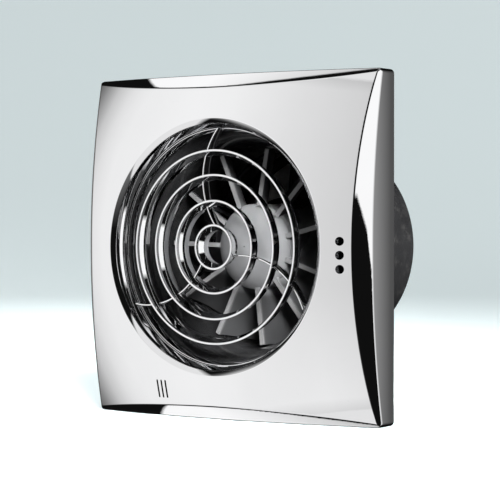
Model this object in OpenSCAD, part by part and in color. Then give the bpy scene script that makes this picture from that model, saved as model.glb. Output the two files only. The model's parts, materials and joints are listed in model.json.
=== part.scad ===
// Chrome-faced axial extractor fan for a wall: a domed square cover with a ring grille,
// an eleven-blade impeller and its motor inside a duct spigot, and a back-draught damper.
// The origin is the duct axis on the wall plane. The face looks along -Y, +Z is up and the
// spigot runs along +Y into the wall.

/* [Cover] */
// Width and height of the square cover
face_size = 158; // [154:0.5:162]
// Thickness of the cover's moulded shell
cover_wall = 2.5; // [2:0.1:3]
// Radius of the sphere that the face is a piece of
dome_radius = 267; // [260:1:280]
// Distance from the wall to the top of that sphere
dome_height = 35.5; // [35:0.1:36.5]
// Height of the cover's side at its corners
side_low = 9.96; // [9.5:0.01:10.5]
// Height of the cover's side at the middle of an edge
side_high = 18.56; // [18:0.01:19]
// Slope of the curved chamfer along each edge, measured from the wall
chamfer_angle = 47.9; // [46:0.1:50]
// Radius of the cover's four upright corners
corner_radius = 2.25; // [1.5:0.05:3]

/* [Opening and grille] */
// Radius of the opening's straight inner lip
lip_radius = 54.5; // [54:0.1:55]
// Radii of the grille rings' front lands
ring_radii = [9.9, 21, 32.7, 43.9];
// Height of the ring fronts above the wall
ring_front = 27.6; // [27:0.1:28]
// Depth of a grille ring
ring_depth = 7.1; // [6:0.1:7.5]
// Height of the three spokes' front edges above the wall
spoke_front = 24.5; // [24:0.1:25]
// Thickness of a spoke
spoke_thickness = 1.1; // [1:0.1:2]
// Radius of the curve that each spoke follows
spoke_radius = 36; // [35.5:0.1:36.5]

/* [Duct and housing] */
// Outer radius of the duct spigot
spigot_radius = 49.25; // [49:0.05:49.5]
// Wall thickness of the duct spigot
spigot_wall = 2; // [1.8:0.1:2.2]
// Length of the spigot behind the wall plane
spigot_length = 68; // [68:0.5:74]
// Half width of the housing's tray
tray_half = 75.5; // [75:0.1:75.5]
// Distance of each wall screw from the duct axis, along X and along Z
screw_reach = 66; // [65:0.5:67]
// Radius of the wall screw holes
screw_hole_radius = 2.25; // [2:0.05:2.5]

/* [Impeller and motor] */
// Number of impeller blades
blade_count = 11; // [9:1:13]
// Radius of the impeller's blade tips
tip_radius = 46; // [45:0.1:46.2]
// Radius of the impeller's hub
hub_radius = 20; // [19.5:0.1:20]
// Radius of the motor shaft
shaft_radius = 2; // [1.5:0.1:2.5]
// Outer radius of the motor can
can_radius = 20.5; // [20.5:0.1:20.6]

/* [Damper] */
// Radius of the two damper flaps
flap_radius = 45.6; // [45:0.1:45.6]
// Radius of the damper's hinge pin
hinge_pin_radius = 1; // [0.9:0.05:1.1]

/* [Hidden] */
$fn = 96;

// Cover
half = face_size / 2;
dome_centre = dome_height - dome_radius;
chamfer_rise = (side_high - side_low) * cos(chamfer_angle);
chamfer_radius = (half * half + chamfer_rise * chamfer_rise) / (2 * chamfer_rise);
cover_back = 0.4;
lip_back = 20;
lip_flare = [23, 25.1];
lip_throat = [56.1, 27.45];
lip_edge = 58.6;
lip_wall_radius = 57.6;
sensor_hole_radius = 1.95;
sensor_holes = [[67.2, 3], [67.2, -3.1], [67.2, -9.2]];
vent_slots = [-33, -30.5, -28];
vent_slot_low = -70;
vent_slot_high = -61.5;
vent_slot_width = 1;

// Cover fixing pins and their sockets
pin_places = [for (u = [-69, 69], v = [-40, 40]) [u, v]];
pin_radius = 2.4;
pin_back = 5;
pin_head = 19;
pin_boss_radius = 4;
pin_boss_back = 14.5;
socket_radius = 4;
socket_top = 12;

// Grille
ring_land = 1;
ring_lean = 1.7;
ring_straight = 1.4;
ring_flare = 3.63;
ring_outer_lean = 5.5;
spoke_back = 20.2;
spoke_centre = [28, 31];
spoke_inner = ring_radii[0] - 1.5;
band_inner = 52.9;
band_outer = 54.3;
band_lip = 53.95;
band_back = 17.6;
band_step = 18.3;
band_front = 21;
ear_angles = [30, 150, 270];
ear_root = 53.7;
ear_back = 17.7;
ear_reach = 60.6;
ear_radius = 2.9;
ear_top = 19.98;
grille_screw_radius = 0.9;
grille_screw_tip = 24;

// Housing
plate = 2.5;
rim_wall = 2;
rim_top = 8.5;
tray_corner = 3;
spigot_inner = spigot_radius - spigot_wall;
mouth_front = 16.5;
mouth_back = -2;
mouth_wall = 2;
mouth_curve = (pow(lip_radius - spigot_inner, 2) + pow(mouth_front - mouth_back, 2))
    / (2 * (lip_radius - spigot_inner));
screw_places = [for (u = [-screw_reach, screw_reach], v = [-screw_reach, screw_reach]) [u, v]];
duct_hole_radius = 49.95;
collar_seat = plate + 0.02;
collar_height = 1.7;
collar_radius = 53;
seal_inner = 51;
seal_outer = 58;
seal_depth = 1.5;
cable_entry = [-60, 29];
cable_hole_radius = 6;
cable_bore_radius = 4;
grommet_lip = 7.8;
grommet_top = plate + 2.6;
screw_pad_radius = 4.5;
screw_pad_height = 1.5;
clamp_places = [[-66, 47], [-50, 47]];
clamp_post_radius = 3;
clamp_post_top = 7.5;
clamp_width = 5.2;
clamp_screw_radius = 1.4;
board_posts = [[40, -60], [60, -62], [27.5, -68]];
board_post_radius = 2.5;
board_post_top = 6;
board_screw_radius = 1.1;

// The passage for the motor's leads: sides of the groove, its rear end and its angle
lead_groove = [0.85, 3.15];
lead_groove_width = lead_groove[1] - lead_groove[0];
lead_groove_end = -36.5;
lead_groove_floor = spigot_radius - 1.15;
lead_window = 8.5;
lead_angle = -60;

// Motor carrier
vane_count = 5;
vane_thickness = 1.6;
vane_front = -31;
vane_back = -56;
carrier_radius = 21.4;
carrier_wall = 1.5;
carrier_front = -30;
carrier_back = -58;
carrier_ring = 1.2;

// Motor, as distances behind the wall plane
can_front = 29;
can_back = 54;
can_wall = 1.2;
can_cover = 1.5;
can_vents = 6;
bearing_outer = 6.5;
bearing_width = 5;
bearing_clearance = 0.03;
bearing_housing = 8;
bearing_land = 1.3;
bearing_shield = 0.4;
front_bearing_at = 30.5;
rear_bearing_at = 48.5;
core_front = 36;
core_back = 48;
rotor_radius = 9.5;
air_gap = 0.4;
yoke_inner = 16.6;
pole_count = 6;
pole_neck = 4.4;
pole_shoe = 8.4;
pole_shoe_depth = 1.3;
winding_height = 4.2;
shaft_front = 9.6;
shaft_back = 53.4;

// Impeller, as heights above the wall plane (behind it, so below zero)
blade_front = -4;
blade_back = -26.5;
blade_thickness = 2;
blade_sweep = 14;
blade_camber = 34;
first_blade_angle = 80;
hub_nose = 3;
hub_edge = -6;
hub_back = -27;
hub_wall = 1.6;
bush_radius = 3.5;
boss_radius = 6;

// Terminal block and control board
block_low = [-52, 57.5];
block_size = [28, 11, 9.5];
block_base = 4;
block_fin_first = -51.8;
block_fin_pitch = 8.6;
pole_pitch = 8.8;
pole_first = -46.8;
pole_v = 63;
board_top = 7.6;
board_clear = 62.5;
trimmer_places = [[47.5, -67.6], [56.5, -67.6]];
trimmer_size = 6.6;
trimmer_top = 12.6;
trimmer_dial = 2.4;
trimmer_stem = 1;

// Damper, as distances behind the wall plane
frame_front = 58.4;
frame_stop = 61;
frame_inner = 44;
frame_bore = 46.1;
flap_front = 61.3;
flap_thickness = 1;
hinge_at = 63.5;
knuckle_radius = 2;
knuckle_clearance = 0.06;
knuckle_reach = 41.5;
knuckle_mid = 21;
knuckle_inner = 6;
knuckle_gap = 0.25;
boss_reach = 42.4;
spring_mean = 1.7;
spring_wire = 0.3;
spring_half = 4;
spring_turns = 9;
spring_leg_at = 4.8;
spring_leg_length = 12;

// Leads, as routes of hand-placed points
lead_radius = 0.8;
thin_lead_radius = 0.5;
supply_run = [[48, 71.8], [59.5, 62], [63, 46], [63, 38], [61.5, 20], [61, 0], [61.5, -18]];
supply_lane = 3.4;
supply_pitch = 2;
motor_route = [[28, -61.5, 10.5], [28, -61.5, 16.5], [28.3, -57.5, 16]];
motor_run = [[57.5, 9], [54, 5], [51, 3.1], [48.65, 2.6], [48.65, -6], [48.65, -32.4],
    [48, -34.2], [46, -34.6], [36, -34.6], [17.2, -34.6]];
sensor_run = [[69.2, -13.1, 8], [69.2, -18, 7], [67.5, -26, 6], [64.5, -38, 8]];
sensor_end = [59.9, -50.4, 10.5];
sensor_arch = 17;
sensor_pitch = 1.6;

// Turns a shape drawn as seen from the room (X right, Y up, Z towards the room) onto the wall.
module facing() {
    rotate([90, 0, 0]) children();
}

// A square plate with rounded corners, between two heights.
module rounded_plate(half_width, radius, low, high) {
    translate([0, 0, low]) linear_extrude(high - low) union() {
        square([2 * half_width, 2 * (half_width - radius)], center = true);
        square([2 * (half_width - radius), 2 * half_width], center = true);
        for (u = [-1, 1], v = [-1, 1])
            translate([u, v] * (half_width - radius)) circle(radius);
    }
}

// A tube between two heights.
module tube(outer, inner, low, high) {
    translate([0, 0, low]) difference() {
        cylinder(r = outer, h = high - low);
        translate([0, 0, -1]) cylinder(r = inner, h = high - low + 2);
    }
}

// A straight rod at a place, between two heights.
module rod(place, radius, low, high) {
    translate([place[0], place[1], low]) cylinder(r = radius, h = high - low);
}

// A box given by its lowest corner, its size and its base height.
module block(low, size, base) {
    translate([low[0], low[1], base]) cube(size);
}

function unit(a) = a / norm(a);

// One round of corner cutting, which turns a bent route into a smooth one.
function rounded_route(p) = [p[0], each [for (i = [0:len(p) - 2])
    each [0.75 * p[i] + 0.25 * p[i + 1], 0.25 * p[i] + 0.75 * p[i + 1]]], p[len(p) - 1]];

function heading(p, i) = unit(p[min(i + 1, len(p) - 1)] - p[max(i - 1, 0)]);

function ring_points(centre, along, radius, sides) =
    let (a = unit(cross([1, 2, 3], along)), b = cross(along, a))
    [for (k = [0:sides - 1])
        centre + radius * (cos(360 * k / sides) * a + sin(360 * k / sides) * b)];

// A round wire swept along a list of points.
module wire(p, radius, sides = 8) {
    last = len(p) - 1;
    corners = [for (i = [0:last]) each ring_points(p[i], heading(p, i), radius, sides)];
    walls = [for (i = [0:last - 1], k = [0:sides - 1])
        let (m = (k + 1) % sides, low = i * sides, high = low + sides)
        each [[low + k, high + k, high + m], [low + k, high + m, low + m]]];
    start_cap = [for (k = [0:sides - 1]) k];
    end_cap = [for (k = [sides - 1:-1:0]) last * sides + k];
    polyhedron(points = corners, faces = [start_cap, each walls, end_cap]);
}

// The cover's outer form, drawn in by an inset: square sides, a spherical face and four
// cylindrical chamfers whose rulings lean inwards.
module cover_form(inset, back) {
    intersection() {
        rounded_plate(half - inset, max(corner_radius - inset, 0.5), back, dome_height + 1);
        translate([0, 0, dome_centre]) sphere(dome_radius - inset, $fn = 180);
        for (side = [0:3]) rotate([0, 0, 90 * side]) chamfer_body(inset);
    }
}

module chamfer_body(inset) {
    translate([half - chamfer_radius * sin(chamfer_angle), 0,
        side_high - chamfer_radius * cos(chamfer_angle)])
        rotate([0, chamfer_angle - 90, 0])
            cylinder(r = chamfer_radius - inset, h = 8 * half, center = true, $fn = 240);
}

module cover_shell() {
    difference() {
        cover_form(0, cover_back);
        cover_form(cover_wall, -1);
    }
}

// The opening, from the back: a straight bore, a flare, a short throat and a shallow cone that
// meets the face in a crisp edge.
module opening_cut() {
    edge = [lip_edge, dome_centre + sqrt(dome_radius * dome_radius - lip_edge * lip_edge)];
    beyond = lip_throat + 2 * (edge - lip_throat);
    rotate_extrude() polygon([[0, -1], [lip_radius, -1], [lip_radius, lip_flare[0]],
        [lip_throat[0], lip_flare[1]], lip_throat, beyond,
        [beyond[0], dome_height + 2], [0, dome_height + 2]]);
}

// What stands inside the cover: the opening's lip, the pin bosses and the grille's bosses.
module cover_inside() {
    intersection() {
        translate([0, 0, dome_centre]) sphere(dome_radius - cover_wall / 2, $fn = 180);
        union() {
            tube(lip_wall_radius, lip_radius, lip_back, dome_height);
            for (p = pin_places) rod(p, pin_boss_radius, pin_boss_back, dome_height);
            for (a = ear_angles) rotate([0, 0, a])
                rod([ear_reach, 0], ear_radius, lip_back, dome_height);
        }
    }
}

module front_cover() {
    color("#d5d8db") facing() difference() {
        union() {
            cover_shell();
            cover_inside();
        }
        opening_cut();
        for (p = sensor_holes) rod(p, sensor_hole_radius, 15, dome_height);
        for (u = vent_slots) vent_slot(u);
        for (p = pin_places) rod(p, pin_radius - 0.4, pin_boss_back - 1, pin_head);
        for (a = ear_angles) rotate([0, 0, a])
            rod([ear_reach, 0], grille_screw_radius, lip_back - 1, grille_screw_tip);
    }
}

module vent_slot(u) {
    r = vent_slot_width / 2;
    rod([u, vent_slot_low + r], r, 15, dome_height);
    rod([u, vent_slot_high - r], r, 15, dome_height);
    block([u - r, vent_slot_low + r], [2 * r, vent_slot_high - vent_slot_low - 2 * r, 20], 15);
}

// One ring: a narrow flat land in front, and walls that lean towards the axis behind it.
module grille_ring(radius) {
    inner = radius - ring_land / 2;
    outer = radius + ring_land / 2;
    back = ring_front - ring_depth;
    rotate_extrude() polygon([[outer, ring_front], [inner, ring_front],
        [inner, ring_front - ring_straight], [inner - ring_lean, ring_front - ring_flare],
        [inner - ring_lean, back], [outer - ring_lean, back],
        [outer - ring_lean, ring_front - ring_outer_lean]]);
}

module grille_band() {
    rotate_extrude() polygon([[band_outer, band_back], [band_outer, band_front],
        [band_lip, band_front], [band_inner, band_step], [band_inner, band_back]]);
}

// One spoke: an arc of a thin tube, cut off inside the smallest ring and the outer band.
module spoke() {
    far = 2 * lip_radius;
    toward = unit(spoke_centre);
    side = [-toward[1], toward[0]];
    intersection() {
        translate([spoke_centre[0], spoke_centre[1], 0])
            tube(spoke_radius + spoke_thickness / 2, spoke_radius - spoke_thickness / 2,
                spoke_back, spoke_front);
        tube(band_outer - 0.2, spoke_inner, 0, dome_height);
        linear_extrude(dome_height) polygon([[0, 0], far * toward, far * (toward + side),
            far * side]);
    }
}

module grille_ear() {
    difference() {
        union() {
            block([ear_root, -ear_radius], [ear_reach - ear_root, 2 * ear_radius,
                ear_top - ear_back], ear_back);
            rod([ear_reach, 0], ear_radius, ear_back, ear_top);
        }
        rod([ear_reach, 0], grille_screw_radius + 0.2, 0, dome_height);
    }
}

module grille() {
    color("#c9ccd0") facing() {
        for (r = ring_radii) grille_ring(r);
        for (a = [0, 120, 240]) rotate([0, 0, a]) spoke();
        grille_band();
        for (a = ear_angles) rotate([0, 0, a]) grille_ear();
    }
}

// A cross-head screw along the axis, from its tip to the top of its head.
module small_screw(radius, head_radius, head, low, high) {
    difference() {
        union() {
            rod([0, 0], radius, low, high);
            rod([0, 0], head_radius, high - head, high);
        }
        for (a = [0, 90]) rotate([0, 0, a])
            translate([0, 0, high]) cube([1.3 * head_radius, 0.5, head], center = true);
    }
}

module grille_screws() {
    color("#8f9194") facing() for (a = ear_angles) rotate([0, 0, a])
        translate([ear_reach, 0, 0]) mirror([0, 0, 1])
            small_screw(grille_screw_radius, 1.8, 1, -grille_screw_tip, 1 - ear_back);
}

// Split pins that hold the cover in the housing's sockets.
module cover_pins() {
    color("#b9bcc0") facing() for (p = pin_places) difference() {
        union() {
            rod(p, pin_radius - 0.05, pin_back, pin_boss_back);
            rod(p, pin_radius - 0.42, pin_boss_back, pin_head);
        }
        block([p[0] - 0.4, p[1] - pin_radius - 1], [0.8, 2 * pin_radius + 2, 6], pin_back - 1);
    }
}

// The space inside a trumpet-shaped mouth that flares towards the room.
module mouth_form(wall, low, high) {
    centre = spigot_inner + mouth_curve;
    rotate_extrude() difference() {
        translate([0, low]) square([centre, high - low]);
        translate([centre, mouth_back]) circle(mouth_curve - wall, $fn = 180);
    }
}

// The whole way through the housing: the spigot's bore and the bell mouth as one turned form.
module air_passage() {
    centre = spigot_inner + mouth_curve;
    rotate_extrude() difference() {
        union() {
            translate([0, -spigot_length - 1]) square([spigot_inner, spigot_length]);
            translate([0, mouth_back]) square([centre, mouth_front + 1 - mouth_back]);
        }
        translate([centre, mouth_back]) intersection() {
            circle(mouth_curve, $fn = 180);
            translate([-centre, 0]) square([2 * centre, 2 * centre]);
        }
    }
}

// The groove and hole that carry the motor's leads past the impeller.
module lead_passage() {
    rotate([0, 0, lead_angle]) {
        block([lead_groove_floor, lead_groove[0]],
            [2.6, lead_groove_width, plate + 1 - lead_groove_end], lead_groove_end);
        block([spigot_inner - 1, lead_groove[0]], [spigot_wall + 1, lead_groove_width,
            lead_window], lead_groove_end);
    }
}

module back_housing() {
    color("#3a3b3d") facing() difference() {
        union() {
            difference() {
                rounded_plate(tray_half, tray_corner, 0, rim_top);
                rounded_plate(tray_half - rim_wall, tray_corner - rim_wall, plate, rim_top + 1);
            }
            for (p = pin_places) rod(p, socket_radius, plate - 1, socket_top);
            for (p = clamp_places) rod(p, clamp_post_radius, plate - 1, clamp_post_top);
            for (p = board_posts) rod(p, board_post_radius, plate - 1, board_post_top);
            for (p = screw_places) rod(p, screw_pad_radius, plate - 1, plate + screw_pad_height);
            block(block_low + [1, 1], [block_size[0] - 2, block_size[1] - 2, block_base - 0.6],
                0.6);
        }
        rod([0, 0], duct_hole_radius, -1, plate + 1);
        tube(seal_outer, seal_inner, -1, seal_depth);
        for (p = screw_places) rod(p, screw_hole_radius, -1, rim_top);
        for (p = pin_places) rod(p, pin_radius, plate + 1, socket_top + 1);
        for (p = clamp_places) rod(p, clamp_screw_radius, plate, clamp_post_top + 1);
        for (p = board_posts) rod(p, board_screw_radius, plate, board_post_top + 1);
        rod(cable_entry, cable_hole_radius, -1, plate + 1);
        lead_passage();
    }
}

// The duct tube and its bell mouth, seated on the tray by a collar.
module duct_spigot() {
    color("#2c2d2f") facing() difference() {
        union() {
            rod([0, 0], spigot_radius, -spigot_length, collar_seat);
            rod([0, 0], collar_radius, collar_seat, collar_seat + collar_height);
            mouth_form(mouth_wall, 0, mouth_front);
        }
        air_passage();
        lead_passage();
        rotate([0, 0, lead_angle]) block([lead_groove_floor, lead_groove[0]],
            [6, lead_groove_width, collar_height + 2.5], collar_seat - 1);
    }
}

module wall_seal() {
    color("#1f2022") facing() tube(seal_outer - 0.1, seal_inner + 0.1, 0, seal_depth - 0.05);
}

module cable_grommet() {
    color("#26272a") facing() translate([cable_entry[0], cable_entry[1], 0]) rotate_extrude()
        polygon([[cable_bore_radius, 0], [cable_hole_radius - 0.1, 0],
            [cable_hole_radius - 0.1, plate + 0.05], [grommet_lip, plate + 0.05],
            [grommet_lip - 0.4, plate + 1.8], [cable_bore_radius + 0.6, grommet_top],
            [cable_bore_radius, grommet_top]]);
}

module cable_clamp() {
    mid = (clamp_places[0] + clamp_places[1]) / 2;
    reach = (clamp_places[1] - clamp_places[0])[0] / 2 + clamp_post_radius;
    low = mid - [reach, clamp_width / 2];
    color("#e4e4e0") facing() difference() {
        union() {
            block(low, [2 * reach, clamp_width, 2.2], clamp_post_top + 0.05);
            block([mid[0] - 4.5, low[1]], [9, clamp_width, 1.4], clamp_post_top + 1.5);
        }
        translate([mid[0], mid[1], clamp_post_top - 2.4]) rotate([90, 0, 0])
            cylinder(r = 4, h = 8, center = true);
        for (p = clamp_places) rod(p, clamp_screw_radius + 0.2, 0, 20);
    }
}

module clamp_screws() {
    color("#b4b6b9") facing() for (p = clamp_places) translate([p[0], p[1], 0])
        small_screw(clamp_screw_radius - 0.02, 2.6, 1.6, plate + 0.5, clamp_post_top + 3.85);
}

module terminal_block() {
    color("#e9e7df") facing() difference() {
        union() {
            block(block_low, block_size, block_base);
            for (i = [0:3]) block([block_fin_first + i * block_fin_pitch, block_low[1] - 0.8],
                [1, block_size[1] + 1.4, block_size[2] - 2], block_base);
        }
        for (i = [0:2]) {
            rod([pole_first + i * pole_pitch, pole_v], 2.3, block_base + 3.5, 20);
            translate([pole_first + i * pole_pitch, pole_v, block_base + 4]) rotate([90, 0, 0])
                cylinder(r = 1.5, h = 16, center = true);
        }
    }
}

module terminal_screws() {
    color("#c3a45a") facing() for (i = [0:2])
        translate([pole_first + i * pole_pitch, pole_v, 0])
            small_screw(1.4, 2.1, 1.6, block_base + 3.6, block_base + 8.6);
}

// Three leads from the terminal block, round the tray, to the board's supply header.
module supply_leads() {
    shades = ["#7a4a28", "#2b4f86", "#202124"];
    facing() for (i = [0:2]) color(shades[i]) {
        start = pole_first + i * pole_pitch;
        end = 57.2 - 2 * i;
        lane = supply_lane + i * supply_pitch;
        route = [[start, 68.7, 8], [start, 70.6, 8], [start + 2, 71.8, lane],
            [start + 8, 71.8, lane], for (p = supply_run) [p[0], p[1], lane],
            [60.5, -27, lane + 1.5], [end, -36.5, 12 + 2 * i], [end, -42, 17],
            [end, -42, 10.2]];
        wire(rounded_route(rounded_route(route)), lead_radius, 8);
    }
}

module control_board() {
    color("#2f6b46") facing() difference() {
        block([24, -72], [38, 34, board_top - board_post_top], board_post_top);
        cylinder(r = board_clear, h = 20);
        for (p = board_posts) rod(p, board_screw_radius + 0.2, 0, 20);
    }
}

module board_screws() {
    color("#b4b6b9") facing() for (p = board_posts) translate([p[0], p[1], 0])
        small_screw(board_screw_radius - 0.02, 2, 1.2, plate + 0.3, board_top + 1.25);
}

module board_relay() {
    color("#2d5aa0") facing() difference() {
        block([44.5, -56], [12.5, 11, 9.5], board_top);
        block([43.5, -57], [1.8, 13, 0.8], board_top + 8.9);
    }
}

module board_capacitor() {
    color("#d8b13c") facing() {
        block([31, -71.4], [12, 5.6, 9], board_top + 0.4);
        for (u = [33, 41]) rod([u, -68.6], 0.4, board_top, board_top + 1);
    }
}

module board_chip() {
    color("#1c1d20") facing() {
        block([46, -62.9], [8, 5.2, 1.7], board_top + 0.3);
        for (i = [0:3], v = [-63.9, -57.9])
            block([46.7 + 1.9 * i, v], [0.8, 1.2, 0.9], board_top);
    }
}

module board_headers() {
    color("#efece2") facing() {
        difference() {
            block([25.6, -64], [6.4, 5, 6], board_top);
            block([26.4, -63.2], [4.8, 3.4, 6], board_top + 1.6);
        }
        difference() {
            block([51, -44.4], [8.4, 4.6, 5.6], board_top);
            block([51.8, -43.6], [6.8, 3, 6], board_top + 1.6);
        }
        difference() {
            block([58, -52], [3.8, 5, 5.6], board_top);
            block([58.7, -51.3], [2.4, 3.6, 6], board_top + 1.6);
        }
    }
}

module trimmer_bodies() {
    color("#3c5fa8") facing() for (p = trimmer_places) difference() {
        block(p - [1, 1] * trimmer_size / 2, [trimmer_size, trimmer_size,
            trimmer_top - board_top], board_top);
        rod(p, trimmer_dial + 0.3, trimmer_top - 1.2, 20);
        rod(p, trimmer_stem + 0.05, board_top + 1, 20);
    }
}

// A trimmer's dial and stem, with an arrow-shaped screwdriver slot.
module trimmer(p) {
    top = trimmer_top + 0.6;
    facing() translate([p[0], p[1], 0]) difference() {
        union() {
            rod([0, 0], trimmer_dial, top - 1.6, top);
            rod([0, 0], trimmer_stem, board_top + 1.4, board_top + 5.4);
        }
        translate([0, 0, top]) cube([3.6, 0.6, 1.2], center = true);
        translate([1.2, 0, top]) cube([0.6, 1.6, 1.2], center = true);
    }
}

module timer_trimmer() {
    color("#f2efe6") trimmer(trimmer_places[0]);
}

module humidity_trimmer() {
    color("#f0c24a") trimmer(trimmer_places[1]);
}

// A sensor capsule on a small upright board, just behind the three holes in the face.
module humidity_sensor() {
    color("#dfe3e6") facing() {
        block([65.9, -14], [1.2, 19, 16], plate);
        difference() {
            block([67.1, -12], [4.2, 16.5, 7], 14.2);
            for (p = sensor_holes) rod([p[0] + 2, p[1]], 1.3, 16, 30);
        }
        block([67.1, -13], [2.6, 8, 4], 6);
    }
}

module sensor_leads() {
    facing() for (i = [0:1]) color(i == 0 ? "#b33a34" : "#d9d6cc") {
        end = sensor_end + [0, sensor_pitch * i, 0];
        arch = sensor_arch - sensor_pitch * i;
        wire(rounded_route(rounded_route([for (p = sensor_run) p - [sensor_pitch * i, 0, 0],
            [end[0] + 0.6 - sensor_pitch * i, end[1] + 3, arch], [end[0], end[1], arch], end])),
            thin_lead_radius, 6);
    }
}

module motor_lead(offset) {
    c = cos(lead_angle);
    s = sin(lead_angle);
    run = [for (q = motor_run) [q[0] * c - offset * s, q[0] * s + offset * c, q[1]]];
    wire(rounded_route([for (p = motor_route) p + [1.4 * offset - 2, 0, 0], each run]),
        thin_lead_radius, 8);
}

module motor_leads() {
    facing() {
        color("#2b4f86") motor_lead(1.45);
        color("#7a4a28") motor_lead(2.58);
    }
}

// The cup that holds the motor, its five flow-straightening vanes and their outer ring.
module motor_carrier() {
    color("#2e2f31") facing() difference() {
        union() {
            tube(carrier_radius + carrier_wall, carrier_radius, carrier_back, carrier_front);
            rod([0, 0], carrier_radius + 0.5, carrier_back, carrier_back + carrier_wall);
            tube(spigot_inner, spigot_inner - carrier_ring, -50, -40);
            for (k = [0:vane_count - 1]) rotate([0, 0, lead_angle + 360 * k / vane_count])
                block([carrier_radius + 0.5, -vane_thickness / 2], [spigot_inner
                    - carrier_radius - 1, vane_thickness, vane_front - vane_back], vane_back);
        }
        for (k = [0:can_vents - 1]) rotate([0, 0, 360 * k / can_vents])
            rod([12, 0], 3, carrier_back - 1, -50);
        rotate([0, 0, lead_angle])
            block([carrier_radius - 1, lead_groove[0]], [4, lead_groove_width, 6], -35.4);
    }
}

module motor_rubbers() {
    color("#1b1c1d") facing() for (at = [-40, -54])
        tube(carrier_radius - 0.02, can_radius + 0.02, at, at + 3);
}

module motor_can() {
    color("#a9adb2") facing() mirror([0, 0, 1]) difference() {
        union() {
            tube(can_radius, can_radius - can_wall, can_front, can_back);
            rod([0, 0], can_radius - 0.5, can_front, can_front + can_cover);
            rod([0, 0], bearing_housing, can_front, front_bearing_at + bearing_width);
        }
        rod([0, 0], bearing_outer, front_bearing_at, front_bearing_at + bearing_width + 1);
        rod([0, 0], 3.4, can_front - 1, can_front + 3);
        for (k = [0:can_vents - 1]) rotate([0, 0, 360 * (k + 0.5) / can_vents])
            rod([13.5, 0], 2.5, can_front - 1, can_front + 2);
        rotate([0, 0, lead_angle])
            block([yoke_inner, lead_groove[0]], [8, lead_groove_width, 2.5], 33.4);
    }
}

module motor_end_cap() {
    color("#9b9fa4") facing() mirror([0, 0, 1]) difference() {
        union() {
            rod([0, 0], can_radius, can_back, can_back + 2.4);
            tube(can_radius - can_wall - 0.02, 17.4, can_back - 2, can_back + 0.5);
            rod([0, 0], bearing_housing, rear_bearing_at, can_back + 0.5);
        }
        rod([0, 0], bearing_outer, rear_bearing_at - 1, rear_bearing_at + bearing_width);
        for (k = [0:can_vents - 1]) rotate([0, 0, 360 * (k + 0.5) / can_vents])
            rod([13, 0], 2, can_back - 3, can_back + 5);
    }
}

module stator_core() {
    pole_inner = rotor_radius + air_gap;
    color("#6f7276") facing() mirror([0, 0, 1]) {
        tube(can_radius - can_wall, yoke_inner, core_front, core_back);
        intersection() {
            tube(yoke_inner + 0.5, pole_inner, core_front, core_back);
            pole_bars(pole_neck);
        }
        intersection() {
            tube(pole_inner + pole_shoe_depth, pole_inner, core_front, core_back);
            pole_bars(pole_shoe);
        }
    }
}

// One bar for each pole of the stator, running out from the axis.
module pole_bars(width) {
    for (k = [0:pole_count - 1]) rotate([0, 0, 360 * k / pole_count])
        block([0, -width / 2], [can_radius, width, core_back - core_front], core_front);
}

module stator_windings() {
    inner = rotor_radius + air_gap + 1.6;
    color("#b5672c") facing() mirror([0, 0, 1]) {
        for (low = [core_front - winding_height, core_back + 0.05])
            tube(yoke_inner - 0.2, inner, low, low + winding_height - 0.05);
        intersection() {
            tube(yoke_inner - 0.2, inner, core_front - 0.5, core_back + 0.5);
            for (k = [0:pole_count - 1]) rotate([0, 0, 60 * k + 30])
                translate([0, -3.4, core_front - 0.5])
                    cube([20, 6.8, core_back - core_front + 1]);
        }
    }
}

// A small ball bearing: outer ring, shield and inner ring turned as one.
module bearing(at) {
    bore = shaft_radius + bearing_clearance;
    inner = bore + bearing_land;
    outer = bearing_outer - bearing_land;
    far = bearing_width - bearing_shield;
    mirror([0, 0, 1]) translate([0, 0, at]) rotate_extrude() polygon([[bore, 0], [inner, 0],
        [inner, bearing_shield], [outer, bearing_shield], [outer, 0], [bearing_outer, 0],
        [bearing_outer, bearing_width], [outer, bearing_width], [outer, far], [inner, far],
        [inner, bearing_width], [bore, bearing_width]]);
}

module front_bearing() {
    color("#d9dbde") facing() bearing(front_bearing_at);
}

module rear_bearing() {
    color("#d9dbde") facing() bearing(rear_bearing_at);
}

module motor_shaft() {
    color("#e3e5e8") facing() mirror([0, 0, 1]) rod([0, 0], shaft_radius, shaft_front, shaft_back);
}

module rotor_core() {
    color("#8b8e92") facing() mirror([0, 0, 1]) tube(rotor_radius, shaft_radius, 36.5, 47.5);
}

// A cambered blade: a slice of a thin cylinder whose axis is radial.
module blade() {
    chord = [-blade_sweep, blade_back - blade_front];
    mid = [-blade_sweep / 2, (blade_back + blade_front) / 2];
    across = unit([-chord[1], chord[0]]);
    reach = sqrt(blade_camber * blade_camber - chord * chord / 4);
    centre = mid - across * reach;
    intersection() {
        tube(tip_radius, hub_radius - 0.8, blade_back, blade_front);
        translate([centre[0], 0, centre[1]]) rotate([-90, 0, 0]) difference() {
            cylinder(r = blade_camber + blade_thickness / 2, h = tip_radius + 1);
            translate([0, 0, -1])
                cylinder(r = blade_camber - blade_thickness / 2, h = tip_radius + 3);
        }
        translate([-blade_sweep - 4, 0, blade_back - 1])
            cube([blade_sweep + 8, tip_radius + 1, blade_front - blade_back + 2]);
    }
}

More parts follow.
